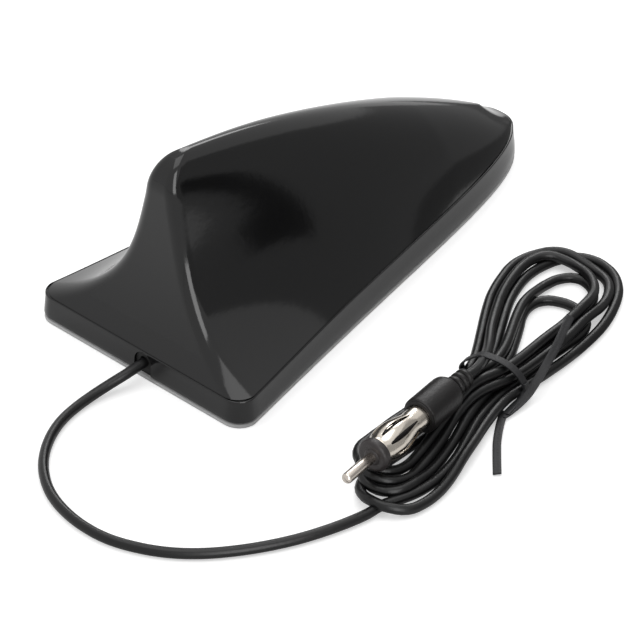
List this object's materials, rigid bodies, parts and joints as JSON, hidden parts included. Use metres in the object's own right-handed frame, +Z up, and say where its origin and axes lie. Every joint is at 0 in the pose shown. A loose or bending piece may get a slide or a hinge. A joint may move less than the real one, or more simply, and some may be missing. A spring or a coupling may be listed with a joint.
{
  "type": "shark fin aerial",
  "caption": "Fin-shaped roof aerial in a gloss moulded cover on an adhesive foot, with a coaxial lead tied in a hank that ends in a slotted aerial plug.",
  "frame": {"origin": "centre of the foot's bounding box on the underside of the adhesive pad, where the aerial stands on the roof", "axes": "+X from the tail to the nose, +Z up, the lead leaves at the tail in -X"},
  "size_m": [0.2167, 0.1437, 0.0652],
  "materials": {
    "cover_black": "gloss",
    "plate_black": "matt",
    "pad_foam": "closed-cell foam",
    "screw_steel": "zinc plated",
    "board_green": "solder mask",
    "sheet_steel": "tinned",
    "former_white": "natural nylon",
    "coil_copper": "enamelled copper",
    "ferrite": "matt ferrite",
    "chip_body": "matt",
    "clamp_black": "matt",
    "bush_rubber": "matt",
    "cable_copper": "bare copper",
    "braid_copper": "tinned braid",
    "cable_pvc": "satin PVC",
    "tie_pvc": "satin",
    "boot_pvc": "satin PVC",
    "sleeve_nickel": "nickel plated",
    "collar_black": "satin",
    "pin_nickel": "nickel plated"
  },
  "bodies": {
    "root": {"cover": "cover_black", "base_plate": "plate_black", "adhesive_pad": "pad_foam", "cover_screws": "screw_steel", "circuit_board": "board_green", "board_screws": "screw_steel", "top_load_plate": "sheet_steel", "coil_former": "former_white", "loading_coil": "coil_copper", "matching_coil": "ferrite", "chip_parts": "chip_body", "cable_clamp": "clamp_black", "clamp_screws": "screw_steel", "cable_grommet": "bush_rubber", "cable_core": "cable_copper", "cable_braid": "braid_copper", "cable": "cable_pvc", "cable_hank": "cable_pvc", "cable_tie": "tie_pvc", "plug_boot": "boot_pvc", "plug_sleeve": "sleeve_nickel", "plug_insulator": "collar_black", "plug_pin": "pin_nickel"}
  },
  "joints": []
}
